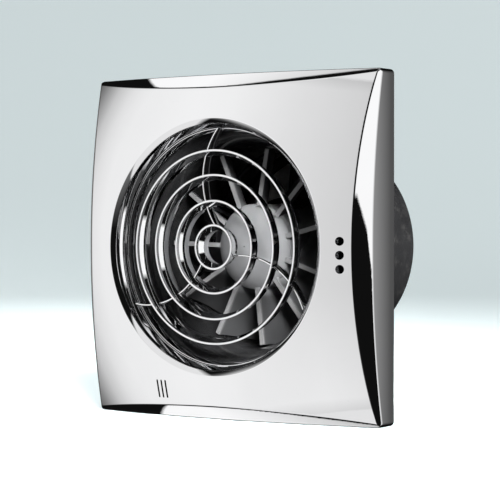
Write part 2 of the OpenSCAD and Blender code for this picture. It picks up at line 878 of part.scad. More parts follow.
module impeller() {
    cap = hub_nose - hub_edge;
    nose = (hub_radius * hub_radius + cap * cap) / (2 * cap);
    color("#515357") facing() difference() {
        union() {
            intersection() {
                translate([0, 0, hub_nose - nose]) sphere(nose, $fn = 120);
                translate([0, 0, hub_back]) cylinder(r = hub_radius, h = 2 * hub_radius);
            }
            for (k = [0:blade_count - 1])
                rotate([0, 0, first_blade_angle - 90 + 360 * k / blade_count]) blade();
        }
        difference() {
            translate([0, 0, hub_back - 1])
                cylinder(r = hub_radius - hub_wall, h = hub_edge - hub_back + 1);
            translate([0, 0, hub_back + 0.5]) cylinder(r = boss_radius, h = 40);
        }
        translate([0, 0, hub_back]) cylinder(r = bush_radius, h = 17.5);
    }
}

module impeller_bush() {
    color("#c9a24c") facing() tube(bush_radius, shaft_radius, hub_back + 0.5, hub_back + 17.4);
}

module damper_frame() {
    color("#2e2f31") facing() mirror([0, 0, 1]) difference() {
        union() {
            tube(spigot_inner, frame_inner, frame_front, frame_stop);
            tube(spigot_inner, frame_bore, frame_front, spigot_length);
            intersection() {
                for (v = [-1, 1]) translate([0, v * boss_reach, hinge_at])
                    rotate([-90 * v, 0, 0]) cylinder(r = 2.4, h = 10);
                cylinder(r = spigot_inner - 0.4, h = spigot_length);
            }
        }
        translate([0, 0, hinge_at]) rotate([90, 0, 0])
            cylinder(r = hinge_pin_radius, h = 93.2, center = true);
    }
}

module damper_pin() {
    color("#d0d3d6") facing() mirror([0, 0, 1]) translate([0, 0, hinge_at]) rotate([90, 0, 0])
        cylinder(r = hinge_pin_radius, h = 93, center = true);
}

function coil_point(t) = [spring_mean * cos(360 * t), spring_half * (2 * t / spring_turns - 1),
    spring_mean * sin(360 * t) - hinge_at];

module damper_spring() {
    steps = 14 * spring_turns;
    color("#aab0b5") facing()
        wire([for (i = [0:steps]) coil_point(i * spring_turns / steps)], spring_wire, 6);
}

module knuckle(from, to) {
    translate([0, 0, hinge_at]) rotate([-90, 0, 0]) translate([0, 0, from])
        cylinder(r = knuckle_radius, h = to - from);
}

// One half-disc flap on +X, with knuckles on two stretches of the hinge pin and room for
// the other flap's knuckles, the pin bosses and the spring.
module flap(own, other) {
    difference() {
        union() {
            intersection() {
                translate([0, 0, flap_front]) cylinder(r = flap_radius, h = flap_thickness);
                translate([0.5, -60, 0]) cube([60, 120, 80]);
            }
            for (k = own) {
                knuckle(k[0], k[1]);
                translate([0, k[0], flap_front]) cube([8, k[1] - k[0], 1.6]);
            }
            for (v = [-24, 0, 24]) translate([6, v - 0.6, flap_front + 0.5])
                cube([sqrt(flap_radius * flap_radius - v * v) - 9, 1.2, 1.6]);
        }
        for (k = other) translate([0, 0, hinge_at]) rotate([-90, 0, 0])
            translate([0, 0, k[0] - knuckle_gap])
                cylinder(r = knuckle_radius + 0.4, h = k[1] - k[0] + 2 * knuckle_gap);
        for (v = [-1, 1]) translate([0, v * (boss_reach - 0.4), hinge_at])
            rotate([-90 * v, 0, 0]) cylinder(r = 2.9, h = 20);
        translate([0, 0, hinge_at]) rotate([90, 0, 0])
            cylinder(r = knuckle_radius + 0.4, h = 2 * knuckle_inner - 0.5, center = true);
        translate([0, 0, hinge_at]) rotate([90, 0, 0])
            cylinder(r = hinge_pin_radius + knuckle_clearance, h = 120, center = true);
    }
}

knuckles_right = [[knuckle_inner, knuckle_mid - knuckle_gap],
    [-knuckle_reach, -knuckle_mid - knuckle_gap]];
knuckles_left = [[knuckle_mid + knuckle_gap, knuckle_reach],
    [-knuckle_mid + knuckle_gap, -knuckle_inner]];

module flap_right() {
    color("#d9dadb") facing() mirror([0, 0, 1]) flap(knuckles_right, knuckles_left);
}

module flap_left() {
    color("#d9dadb") facing() mirror([0, 0, 1]) mirror([1, 0, 0])
        flap(knuckles_left, knuckles_right);
}

// The spring's leg that presses on the back of one flap.
module spring_leg(v) {
    translate([1.4, v, -flap_front - flap_thickness - spring_wire - 0.05]) rotate([0, 90, 0])
        cylinder(r = spring_wire, h = spring_leg_length, $fn = 24);
}

module spring_leg_right() {
    color("#aab0b5") facing() spring_leg(spring_leg_at);
}

module spring_leg_left() {
    color("#aab0b5") facing() mirror([1, 0, 0]) spring_leg(-spring_leg_at);
}

front_cover();
grille();
grille_screws();
cover_pins();
back_housing();
duct_spigot();
wall_seal();
cable_grommet();
cable_clamp();
clamp_screws();
terminal_block();
terminal_screws();
supply_leads();
control_board();
board_screws();
board_relay();
board_capacitor();
board_chip();
board_headers();
trimmer_bodies();
timer_trimmer();
humidity_trimmer();
humidity_sensor();
sensor_leads();
motor_leads();
motor_carrier();
motor_rubbers();
motor_can();
motor_end_cap();
stator_core();
stator_windings();
front_bearing();
rear_bearing();
motor_shaft();
rotor_core();
impeller();
impeller_bush();
damper_frame();
damper_pin();
damper_spring();
flap_left();
flap_right();
spring_leg_left();
spring_leg_right();
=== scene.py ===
import json
import math

import bpy
import numpy as np
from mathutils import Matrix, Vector


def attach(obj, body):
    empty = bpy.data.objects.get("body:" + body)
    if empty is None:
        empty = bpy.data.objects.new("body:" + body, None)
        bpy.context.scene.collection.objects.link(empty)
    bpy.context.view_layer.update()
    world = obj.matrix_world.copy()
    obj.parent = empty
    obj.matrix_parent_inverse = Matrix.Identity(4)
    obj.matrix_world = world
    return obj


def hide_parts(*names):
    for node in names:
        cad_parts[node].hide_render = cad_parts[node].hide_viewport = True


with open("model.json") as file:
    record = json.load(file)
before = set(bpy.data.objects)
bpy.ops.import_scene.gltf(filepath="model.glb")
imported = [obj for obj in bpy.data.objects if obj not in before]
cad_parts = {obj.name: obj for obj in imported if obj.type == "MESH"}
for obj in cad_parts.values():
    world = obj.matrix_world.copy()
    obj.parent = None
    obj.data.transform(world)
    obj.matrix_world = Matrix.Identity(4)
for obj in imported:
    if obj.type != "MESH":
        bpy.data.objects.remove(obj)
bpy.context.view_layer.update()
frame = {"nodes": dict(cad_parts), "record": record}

# Shapes are written as seen from the room, in millimetres: (right, up, towards the room).
MM = 0.001

# The cover: a dome, four chamfers and upright sides.
HALF = 79.0
DOME_R, DOME_C = 267.0, -231.5
SIDE_LOW, SIDE_HIGH, CHAMFER = 9.96, 18.56, math.radians(47.9)
RISE = (SIDE_HIGH - SIDE_LOW) * math.cos(CHAMFER)
CHAMFER_R = (HALF**2 + RISE**2) / (2 * RISE)
# The chamfer's crown line: its height at mid side, its fall to the corners, and its curvature.
CROWN_TOP, CROWN_FALL, CROWN_CURVE = 4.65, 11.05, 0.0044
CORNER_R = 2.25
DOME_EDGE_R, SIDE_EDGE_R = 0.22, 0.3
COVER_BACK = 0.4
WALL = 2.5
WALL_INNER_TOP = 26.6

# The opening's lip, with the heights between which its bore flares and its throat's
# (radius, height).
LIP_EDGE, LIP_R, LIP_BACK, LIP_OUT = 58.6, 54.5, 20.0, 57.6
LIP_FLARE, LIP_THROAT, LIP_OVERLAP = (23.0, 25.1), (56.1, 27.45), 0.6

# Holes in the face.
SENSOR_HOLES, SENSOR_HOLE_R = [(67.2, 3.0), (67.2, -3.1), (67.2, -9.2)], 1.95
SLOTS, SLOT_LOW, SLOT_HIGH, SLOT_WIDTH = [-33.0, -30.5, -28.0], -70, -61.5, 1.0
CUT_BACK, CUT_FRONT = 15, 36

# Bosses behind the face.
PIN_BOSSES = [(u, v) for u in (-69, 69) for v in (-40, 40)]
PIN_BOSS_R, PIN_BOSS_BACK, PIN_BOSS_FRONT = 4.0, 14.5, 18.5
EAR_BOSS_BACK, EAR_BOSS_FRONT = 20.0, 26.0

# The grille: rings, curved spokes, an outer band and three ears.
RINGS = [9.9, 21.0, 32.7, 43.9]
RING_FRONT, RING_DEPTH = 27.6, 7.1
RING_LAND, RING_LEAN, RING_STRAIGHT, RING_FLARE, RING_OUTER_LEAN = 1.0, 1.7, 1.4, 3.63, 5.5
SPOKE_TURNS = [math.radians(a) for a in (0, 120, 240)]
SPOKE_CENTRE, SPOKE_R, SPOKE_FROM, SPOKE_TO = (28.0, 31.0), 36.0, 8.5, 54.0
SPOKE_BACK, SPOKE_SHOULDER, SPOKE_FRONT = 20.2, 23.7, 24.5
BAND_OUT, BAND_IN, BAND_LIP, BAND_BACK, BAND_STEP, BAND_FRONT = 54.3, 52.9, 53.95, 17.6, 18.3, 21.0
EARS = [math.radians(a) for a in (30, 150, 270)]
EAR_OUT, EAR_R, EAR_ROOT, EAR_BACK, EAR_FRONT = 60.6, 2.9, 53.7, 17.7, 19.98

# The impeller. A blade's section is an arc between two (sideways, height) points.
HUB_R, HUB_CAP, HUB_FRONT, HUB_BACK = 20.0, 9.0, 3.0, -27.0
SKIRT_R, SKIRT_TOP, SKIRT_CHAMFER = 18.4, -9.0, (0.8, 1.4)
SLEEVE_R, SLEEVE_TOP, SLEEVE_BACK, BORE_R, BORE_TOP = 6.0, -7.0, -26.5, 3.5, -9.6
BLADES, BLADE_ROOT, BLADE_TIP, BLADE_TURN = 11, 19.2, 46.0, -10
BLADE_R, BLADE_FRONT, BLADE_BACK = 34.0, (0.0, -4.0), (-14.0, -26.5)


def in_frame(p):
    p = np.asarray(p, float).reshape(-1, 3)
    return np.column_stack([p[:, 0], -p[:, 2], p[:, 1]]) * MM


def unit(v):
    return v / np.maximum(np.linalg.norm(v, axis=-1, keepdims=True), 1e-12)


def polar(radius, angle):
    return radius * math.cos(angle), radius * math.sin(angle)


def rotated(x, y, angle):
    c, s = math.cos(angle), math.sin(angle)
    return c * x - s * y, s * x + c * y


def new_object(name, points, faces):
    mesh = bpy.data.meshes.new(name)
    mesh.from_pydata(in_frame(points).tolist(), [], [list(map(int, f)) for f in faces])
    mesh.update()
    o = bpy.data.objects.new(name, mesh)
    bpy.context.scene.collection.objects.link(o)
    return o


def joined(name, shells):
    """One mesh object from several closed shells of (points, faces)."""
    points, faces, base = [], [], 0
    for p, f in shells:
        p = np.asarray(p, float).reshape(-1, 3)
        points.append(p)
        faces += [[i + base for i in g] for g in f]
        base += len(p)
    return new_object(name, np.vstack(points), faces)


def grid_faces(columns, rows, wrap_rows=True, wrap_columns=True):
    """Quads over points listed column by column."""
    faces = []
    for c in range(columns if wrap_columns else columns - 1):
        d = (c + 1) % columns
        for r in range(rows if wrap_rows else rows - 1):
            s = (r + 1) % rows
            faces.append([c * rows + r, c * rows + s, d * rows + s, d * rows + r])
    return faces


def turned(profile, steps=180):
    """A closed ring turned from a closed profile of (radius, height) points, listed clockwise."""
    a = np.linspace(0, 2 * math.pi, steps, endpoint=False)
    prof = np.asarray(profile, float)
    pts = np.empty((steps, len(prof), 3))
    pts[..., 0] = np.cos(a)[:, None] * prof[None, :, 0]
    pts[..., 1] = np.sin(a)[:, None] * prof[None, :, 0]
    pts[..., 2] = prof[None, :, 1]
    return pts.reshape(-1, 3), grid_faces(steps, len(prof))


def prism(outline, low, high):
    """A straight solid on a flat outline, listed anticlockwise."""
    n = len(outline)
    p = np.vstack([np.column_stack([outline, np.full(n, h)]) for h in (low, high)])
    f = [[k, (k + 1) % n, n + (k + 1) % n, n + k] for k in range(n)]
    return p, f + [list(range(n))[::-1], list(range(n, 2 * n))]


def loft(points, count):
    """A closed solid through a number of sections with equally many points."""
    m = len(points) // count
    faces = grid_faces(count, m, wrap_columns=False)
    faces += [list(range(m))[::-1], list(range((count - 1) * m, count * m))]
    return np.array(points), [f[::-1] for f in faces]


def rounded_profile(corners, steps=5, closed=True):
    """A profile from (radius, height, rounding) corners, where the rounding may be left out."""
    out, n = [], len(corners)
    for i in range(n):
        if not closed and i in (0, n - 1):
            out.append(np.array(corners[i][:2], float))
            continue
        p, q, r = (np.array(corners[(i + k) % n][:2], float) for k in (-1, 0, 1))
        size = corners[i][2] if len(corners[i]) > 2 else 0
        if size <= 0:
            out.append(q)
            continue
        a, b = unit(p - q) * size, unit(r - q) * size
        for t in np.linspace(0, 1, steps):
            out.append(q + a * (1 - t) ** 2 + b * t**2)
    return out


def shade(o, angle=35):
    o.data.polygons.foreach_set("use_smooth", [True] * len(o.data.polygons))
    o.data.set_sharp_from_angle(angle=math.radians(angle))


# ---------------------------------------------------------------- the cover
# Normals count as the same way when their cosine is over this.
SAME_WAY = 0.86


def soft_max(a, b, r):
    """The larger of two distances, with the edge where they meet rounded."""
    ar, br = a + r, b + r
    return np.where((ar > 0) & (br > 0), np.hypot(ar, br) - r, np.maximum(a, b))


def cover_field(p, inset=0.0):
    """Distance-like field of the cover's outer form, zero on its surface."""
    u, v, w = p[..., 0], p[..., 1], p[..., 2]
    dome = np.sqrt(u**2 + v**2 + (w - DOME_C) ** 2) - (DOME_R - inset)
    cs, sn = math.cos(CHAMFER), math.sin(CHAMFER)
    au, aw = HALF - CHAMFER_R * sn, SIDE_HIGH - CHAMFER_R * cs
    chamfer = None
    for ck, sk in ((1, 0), (0, 1), (-1, 0), (0, -1)):
        s, t = u * ck + v * sk, -u * sk + v * ck
        along = -(s - au) * cs + (w - aw) * sn
        across = (s - au) * sn + (w - aw) * cs
        crown = along - (CROWN_TOP - CROWN_FALL * (t / HALF) ** 2)
        f = np.hypot(across, t) - (CHAMFER_R - inset) + CROWN_CURVE * crown**2
        chamfer = f if chamfer is None else soft_max(chamfer, f, SIDE_EDGE_R)
    h, rc = HALF - inset, max(CORNER_R - inset, 0.5)
    qu, qv = np.abs(u) - (h - rc), np.abs(v) - (h - rc)
    side = np.hypot(np.maximum(qu, 0), np.maximum(qv, 0)) + np.minimum(np.maximum(qu, qv), 0) - rc
    return soft_max(soft_max(dome, chamfer, DOME_EDGE_R), side, SIDE_EDGE_R)


def field_normal(p, inset=0.0):
    step, g = 1e-4, np.empty(p.shape)
    for i in range(3):
        d = np.zeros(3)
        d[i] = step
        g[..., i] = cover_field(p + d, inset) - cover_field(p - d, inset)
    return unit(g)


def column_angles():
    """Directions from the axis, closest together at the cover's corners."""
    q = np.concatenate([np.arange(-45, -43.5, 0.1), np.arange(-43.5, -38, 0.5),
                        np.arange(-38, 38.1, 1.0), np.arange(38.5, 43.6, 0.5),
                        np.arange(43.6, 44.99, 0.1)])
    return np.radians(np.concatenate([q + 90 * k for k in range(4)]))


def cover_profile(angles, start, inset, count):
    """Points on the cover's form along each half-plane, from a start point (radius, height)
    outwards to the back edge, spread by length and by how much the surface turns."""
    hub = np.array([50.0, COVER_BACK])
    fine, reach, halvings = 700, 90.0, 46
    step_length, step_turn = 2.0, 5.0
    first = math.atan2(start[1] - hub[1], start[0] - hub[0])
    phi = np.linspace(first, 0, fine)
    ray = np.stack([np.cos(phi), np.sin(phi)], -1)
    c, s = np.cos(angles)[:, None], np.sin(angles)[:, None]

    def place(t):
        rho = hub[0] + t * ray[None, :, 0]
        return np.stack([rho * c, rho * s, hub[1] + t * ray[None, :, 1]], -1)

    low, high = np.zeros((len(angles), fine)), np.full((len(angles), fine), reach)
    for _ in range(halvings):
        mid = (low + high) / 2
        inside = cover_field(place(mid), inset) < 0
        low, high = np.where(inside, mid, low), np.where(inside, high, mid)
    p = place((low + high) / 2)
    n = field_normal(p, inset)
    step = np.linalg.norm(np.diff(p, axis=1), axis=-1)
    turn = np.degrees(np.arccos(np.clip((n[:, 1:] * n[:, :-1]).sum(-1), -1, 1)))
    spread = np.cumsum(step / step_length + turn / step_turn, 1)
    weight = np.concatenate([np.zeros((len(angles), 1)), spread], 1)
    out = np.empty((len(angles), count, 3))
    for i in range(len(angles)):
        want = np.linspace(0, weight[i, -1], count)
        for k in range(3):
            out[i, :, k] = np.interp(want, weight[i], p[i, :, k])
    for _ in range(3):
        out -= field_normal(out, inset) * cover_field(out, inset)[..., None]
    out[:, -1, 2] = COVER_BACK
    return out


def revolve_points(angles, profile):
    prof = np.asarray(profile, float)
    c, s = np.cos(angles)[:, None], np.sin(angles)[:, None]
    return np.stack([c * prof[None, :, 0], s * prof[None, :, 0],
                     np.broadcast_to(prof[None, :, 1], (len(angles), len(prof)))], -1)


def rod(place, radius, low, high, sides=32):
    a = np.linspace(0, 2 * math.pi, sides, endpoint=False)
    ring = np.column_stack([place[0] + radius * np.cos(a), place[1] + radius * np.sin(a)])
    return prism(ring, low, high)


def slot_cutter(u, steps=8):
    """An upright slot with round ends."""
    r = SLOT_WIDTH / 2
    a = np.linspace(0, math.pi, steps)
    top = np.column_stack([u + r * np.cos(a), SLOT_HIGH - r + r * np.sin(a)])
    bottom = np.column_stack([u - r * np.cos(a), SLOT_LOW + r - r * np.sin(a)])
    return prism(np.vstack([top, bottom]), CUT_BACK, CUT_FRONT)


def dome_height(radius):
    return DOME_C + math.sqrt(DOME_R**2 - radius**2)


FACE_START = (LIP_EDGE + LIP_OVERLAP, dome_height(LIP_EDGE + LIP_OVERLAP))


def lip_path():
    """The opening's lip in section: outer wall, back face, throat, flare, bore and rim."""
    return np.array(rounded_profile([
        (LIP_OUT, LIP_FLARE[0]), (LIP_OUT, LIP_BACK, 0.3), (LIP_R, LIP_BACK, 0.25),
        (LIP_R, LIP_FLARE[0], 0.2), (LIP_THROAT[0], LIP_FLARE[1], 0.2), (*LIP_THROAT, 0.3),
        (LIP_EDGE, dome_height(LIP_EDGE), 0.3), FACE_START], closed=False))


def lip_normals(p):
    """Distance to each point of the lip's section, with the normals of the faces beside it.
    Faces that meet at a small angle share one normal."""
    path = lip_path()
    side = np.diff(path, axis=0)
    flat = unit(np.column_stack([-side[:, 1], side[:, 0]]))
    rho = np.hypot(p[..., 0], p[..., 1])
    out_u, out_v = p[..., 0] / rho, p[..., 1] / rho
    options = []
    for i, at in enumerate(path):
        before, after = flat[max(i - 1, 0)], flat[min(i, len(flat) - 1)]
        if before @ after > SAME_WAY:
            before = after = unit(before + after)
        dist = np.hypot(rho - at[0], p[..., 2] - at[1])
        for n in (before, after):
            normal = np.stack([n[0] * out_u, n[0] * out_v, np.full(len(rho), n[1])], -1)
            options.append((dist, normal))
    return options


def side_draft(p, n, lean=0.10, full_height=17.0, slack=0.2):
    """Tilts the upright sides' shading forward, so their reflections grade from front to back."""
    upright = np.clip(1 - np.abs(n[..., 2]) / slack, 0, 1)
    n = n.copy()
    n[..., 2] += upright * lean * np.clip(p[..., 2] / full_height, 0, 1)
    return unit(n)


def build_cover():
    """The cover as one shell: face and sides, inner wall and lip, with its holes cut through."""
    angles = column_angles()
    outer = cover_profile(angles, FACE_START, 0.0, 96)
    inner = cover_profile(angles, (LIP_OUT, WALL_INNER_TOP), WALL, 34)
    inner[:, 0, :2] *= (LIP_OUT / np.hypot(inner[:, 0, 0], inner[:, 0, 1]))[:, None]
    lip = lip_path()[:-1]
    rows = np.concatenate([outer, inner[:, ::-1], revolve_points(angles, lip)], 1)
    faces = [f[::-1] for f in grid_faces(len(angles), rows.shape[1])]
    body = new_object("cover_shell", rows.reshape(-1, 3), faces)
    cutters = [rod(p, SENSOR_HOLE_R, CUT_BACK, CUT_FRONT, 48) for p in SENSOR_HOLES]
    cutters += [slot_cutter(u) for u in SLOTS]
    tool = joined("cutters", cutters)
    mod = body.modifiers.new("holes", "BOOLEAN")
    mod.operation, mod.object, mod.solver = "DIFFERENCE", tool, "EXACT"
    bpy.context.view_layer.update()
    cut = bpy.data.meshes.new_from_object(body.evaluated_get(bpy.context.evaluated_depsgraph_get()))
    body.modifiers.clear()
    body.data = cut
    bpy.data.objects.remove(tool)
    return body


def cover_normals(body, tolerance=0.06, far=99.0):
    """Sets exact normals on the cover, so its mirror finish reflects without facets. Each corner
    takes the normal of the nearest form within the tolerance that faces its face's way."""
    mesh = body.data
    n_loops = len(mesh.loops)
    co = np.empty(len(mesh.vertices) * 3)
    mesh.vertices.foreach_get("co", co)
    co = co.reshape(-1, 3) / MM
    p = np.column_stack([co[:, 0], co[:, 2], -co[:, 1]])
    vertex = np.empty(n_loops, int)
    mesh.loops.foreach_get("vertex_index", vertex)
    size = np.empty(len(mesh.polygons), int)
    mesh.polygons.foreach_get("loop_total", size)
    face = np.repeat(np.arange(len(size)), size)
    fn = np.empty(len(size) * 3)
    mesh.polygons.foreach_get("normal", fn)
    fn = fn.reshape(-1, 3)
    fn = np.column_stack([fn[:, 0], fn[:, 2], -fn[:, 1]])[face]
    at = p[vertex]
    best, chosen = np.full(n_loops, tolerance), fn.copy()
    outer = side_draft(at, field_normal(at))
    inner = -field_normal(at, WALL)
    candidates = [(np.abs(cover_field(at)), outer), (np.abs(cover_field(at, WALL)), inner)]
    at_lip = (np.hypot(at[:, 0], at[:, 1]) < 60.3) & (at[:, 2] > 19.5)
    for dist, n in lip_normals(at):
        candidates.append((np.where(at_lip, dist, far), n))
    for dist, n in candidates:
        ok = (dist < best) & ((n * fn).sum(-1) > SAME_WAY)
        best, chosen = np.where(ok, dist, best), np.where(ok[:, None], n, chosen)
    chosen = unit(chosen)
    mesh.polygons.foreach_set("use_smooth", [True] * len(mesh.polygons))
    normals = np.column_stack([chosen[:, 0], -chosen[:, 2], chosen[:, 1]])
    mesh.normals_split_custom_set(normals.tolist())


cover = build_cover()
cover_normals(cover)

bosses = [rod(place, PIN_BOSS_R, PIN_BOSS_BACK, PIN_BOSS_FRONT) for place in PIN_BOSSES]
bosses += [rod(polar(EAR_OUT, a), EAR_R, EAR_BOSS_BACK, EAR_BOSS_FRONT) for a in EARS]
cover_bosses = joined("cover_bosses", bosses)
shade(cover_bosses)


# ---------------------------------------------------------------- the grille
def ring_shell(radius):
    """A ring with a narrow front land, leaning in towards the axis behind it."""
    inner, outer = radius - RING_LAND / 2, radius + RING_LAND / 2
    front, back = RING_FRONT, RING_FRONT - RING_DEPTH
    return turned(rounded_profile([
        (outer - RING_LEAN, back, 0.2), (inner - RING_LEAN, back, 0.2),
        (inner - RING_LEAN, front - RING_FLARE, 0.15), (inner, front - RING_STRAIGHT, 0.15),
        (inner, front, 0.18), (outer, front, 0.18),
        (outer - RING_LEAN, front - RING_OUTER_LEAN, 0.3)]), 220)


def spoke_shell(turn):
    """A spoke on an arc, from the smallest ring to the band."""
    centre = np.array(SPOKE_CENTRE)
    toward = unit(centre)
    side = np.array([-toward[1], toward[0]])
    t = np.linspace(0, 2 * math.pi, 7200)
    p = centre + SPOKE_R * np.column_stack([np.cos(t), np.sin(t)])
    rho = np.linalg.norm(p, axis=1)
    t = t[(rho > SPOKE_FROM) & (rho < SPOKE_TO) & (p @ side > 0) & (p @ toward > 0)]
    t = np.linspace(t.min(), t.max(), 60)
    section = rounded_profile([
        (-0.55, SPOKE_BACK, 0.1), (-0.5, SPOKE_SHOULDER, 0.2), (-0.3, SPOKE_FRONT, 0.15),
        (0.3, SPOKE_FRONT, 0.15), (0.5, SPOKE_SHOULDER, 0.2), (0.55, SPOKE_BACK, 0.1)], 4)
    pts = [(*rotated(*(centre + polar(SPOKE_R + off, k)), turn), w)
           for k in t for off, w in section]
    return loft(pts, len(t))


def ear_shells(angle):
    """A round ear and the bar that joins it to the band."""
    bar = [(EAR_ROOT, -EAR_R), (EAR_OUT, -EAR_R), (EAR_OUT, EAR_R), (EAR_ROOT, EAR_R)]
    return [rod(polar(EAR_OUT, angle), EAR_R, EAR_BACK, EAR_FRONT),
            prism([rotated(x, y, angle) for x, y in bar], EAR_BACK, EAR_FRONT)]


shells = [ring_shell(r) for r in RINGS]
shells += [spoke_shell(a) for a in SPOKE_TURNS]
shells.append(turned(rounded_profile([
    (BAND_OUT, BAND_BACK, 0.2), (BAND_IN, BAND_BACK, 0.2), (BAND_IN, BAND_STEP, 0.2),
    (BAND_LIP, BAND_FRONT, 0.15), (BAND_OUT, BAND_FRONT, 0.15)]), 220))
for ear in EARS:
    shells += ear_shells(ear)
grille = joined("ring_grille", shells)
shade(grille, 30)


# ---------------------------------------------------------------- the impeller
def hub_shell():
    """A domed hub, open behind round the sleeve that takes the shaft."""
    nose = (HUB_R**2 + HUB_CAP**2) / (2 * HUB_CAP)
    dome = [(nose * math.sin(t), HUB_FRONT - nose + nose * math.cos(t))
            for t in np.linspace(0.012, math.asin((HUB_R - 0.5) / nose), 30)]
    foot = dome[-1][1]
    edge = [(HUB_R - 0.16, foot - 0.28), (HUB_R, foot - 0.7)]
    inside = [(HUB_R, HUB_BACK), (SKIRT_R, HUB_BACK), (SKIRT_R, SKIRT_TOP),
              (SKIRT_R - SKIRT_CHAMFER[0], SKIRT_TOP + SKIRT_CHAMFER[1]),
              (SLEEVE_R, SLEEVE_TOP), (SLEEVE_R, SLEEVE_BACK), (BORE_R, SLEEVE_BACK),
              (BORE_R, BORE_TOP), (0.3, BORE_TOP)]
    return turned((dome + edge + inside)[::-1], 144)


def blade_shell(turn, steps=20, spans=14):
    """A blade: one arc section, thinner towards its back edge, laid on cylinders from the hub out
    to the tip."""
    start, end = np.array(BLADE_FRONT), np.array(BLADE_BACK)
    chord = end - start
    across = unit(np.array([-chord[1], chord[0]]))
    centre = (start + end) / 2 - across * math.sqrt(BLADE_R**2 - chord @ chord / 4)
    first, last = (math.atan2(*(p - centre)[::-1]) for p in (start, end))
    front, back = [], []
    for i, a in enumerate(np.linspace(first, last, steps)):
        along = i / (steps - 1)
        half = 1.05 - 0.45 * along if along < 0.96 else 0.3
        for sign, row in ((1, front), (-1, back)):
            x, w = centre + polar(BLADE_R + sign * half, a)
            row.append((x, min(max(w, BLADE_BACK[1]), BLADE_FRONT[1])))
    section = front + back[::-1]
    pts = [(*rotated(x, math.sqrt(max(r * r - x * x, 0)), turn), w)
           for r in np.linspace(BLADE_ROOT, BLADE_TIP, spans) for x, w in section]
    return loft(pts, spans)


def impeller_shells():
    turns = [math.radians(BLADE_TURN + 360 * k / BLADES) for k in range(BLADES)]
    return [hub_shell()] + [blade_shell(a) for a in turns]


wheel = joined("fan_impeller", impeller_shells())
shade(wheel, 32)


# ---------------------------------------------------------------- materials
class Graph:
    """A short way to write a node tree."""

    def __init__(self, tree):
        self.tree = tree
        tree.nodes.clear()

    def add(self, kind, inputs=(), **props):
        n = self.tree.nodes.new(kind)
        for k, v in props.items():
            setattr(n, k, v)
        for k, v in dict(inputs).items():
            if isinstance(v, bpy.types.NodeSocket):
                self.tree.links.new(v, n.inputs[k])
            else:
                n.inputs[k].default_value = v
        return n

    def math(self, op, *values, clamp=False):
        return self.add("ShaderNodeMath", dict(enumerate(values)), operation=op,
                        use_clamp=clamp).outputs[0]

    def times(self, a, b):
        return self.math("MULTIPLY", a, b)

    def most(self, first, *others):
        for other in others:
            first = self.math("MAXIMUM", first, other)
        return first

    def ramp(self, x, stops):
        """A piecewise linear map from (input, output) stops."""
        lo, hi = stops[0][0], stops[-1][0]
        f = self.math("DIVIDE", self.math("SUBTRACT", x, lo), hi - lo, clamp=True)
        n = self.add("ShaderNodeValToRGB", {0: f})
        e = n.color_ramp.elements
        while len(e) < len(stops):
            e.new(0.5)
        for k, (a, b) in zip(e, stops):
            k.position = (a - lo) / (hi - lo)
            k.color = (b, b, b, 1)
        return n.outputs[0]

    def noise(self, vector, scale, detail=3.0, rough=0.55):
        return self.add("ShaderNodeTexNoise", {"Vector": vector, "Scale": scale, "Detail": detail,
                                               "Roughness": rough}).outputs[0]

    def blend(self, f, a, b):
        """The colour a where f is 0, and b where it is 1."""
        n = self.add("ShaderNodeMix", {0: f}, data_type="RGBA")
        for socket, v in ((n.inputs[6], a), (n.inputs[7], b)):
            if isinstance(v, bpy.types.NodeSocket):
                self.tree.links.new(v, socket)
            else:
                socket.default_value = (*v[:3], 1)
        return n.outputs[2]

    def bump(self, height, strength, distance, normal=None):
        ins = {"Height": height, "Strength": strength, "Distance": distance}
        if normal is not None:
            ins["Normal"] = normal
        return self.add("ShaderNodeBump", ins).outputs[0]


def start_material(name):
    """A new material with its graph, its shader and the object's own coordinates."""
    m = bpy.data.materials.new(name)
    m.use_nodes = True
    g = Graph(m.node_tree)
    out = g.add("ShaderNodeOutputMaterial")
    b = g.add("ShaderNodeBsdfPrincipled")
    m.node_tree.links.new(b.outputs[0], out.inputs[0])
    coord = g.add("ShaderNodeTexCoord").outputs["Object"]
    return m, g, b, coord


def link(g, value, socket):
    g.tree.links.new(value, socket)


def plastic(name, colour, rough, grain=2600.0, depth=0.03, mottle=0.12, dust=0.0, coat=0.0):
    """Moulded plastic: fine spark-eroded grain, slow colour drift and a trace of dust."""
    m, g, b, at = start_material(name)
    dust_colour = (0.5, 0.49, 0.46)
    slow = g.noise(at, 34.0, 4.0)
    dark = [c * (1 - mottle) for c in colour]
    light = [min(c * (1 + mottle) + 0.004, 1) for c in colour]
    shade_of = g.blend(g.ramp(slow, [(0.3, 0), (0.7, 1)]), dark, light)
    if dust:
        fine = g.noise(at, 210.0, 6.0, 0.7)
        shade_of = g.blend(g.ramp(fine, [(0.52, 0), (0.75, dust)]), shade_of, dust_colour)
    link(g, shade_of, b.inputs["Base Color"])
    glossiest, dullest = max(rough - 0.06, 0.03), min(rough + 0.08, 1)
    worn = g.ramp(g.noise(at, 90.0, 4.0), [(0.3, glossiest), (0.7, dullest)])
    link(g, worn, b.inputs["Roughness"])
    link(g, g.bump(g.noise(at, grain, 2.0), depth * 6, 0.0002), b.inputs["Normal"])
    if coat:
        b.inputs["Coat Weight"].default_value = coat
        b.inputs["Coat Roughness"].default_value = 0.08
    return m


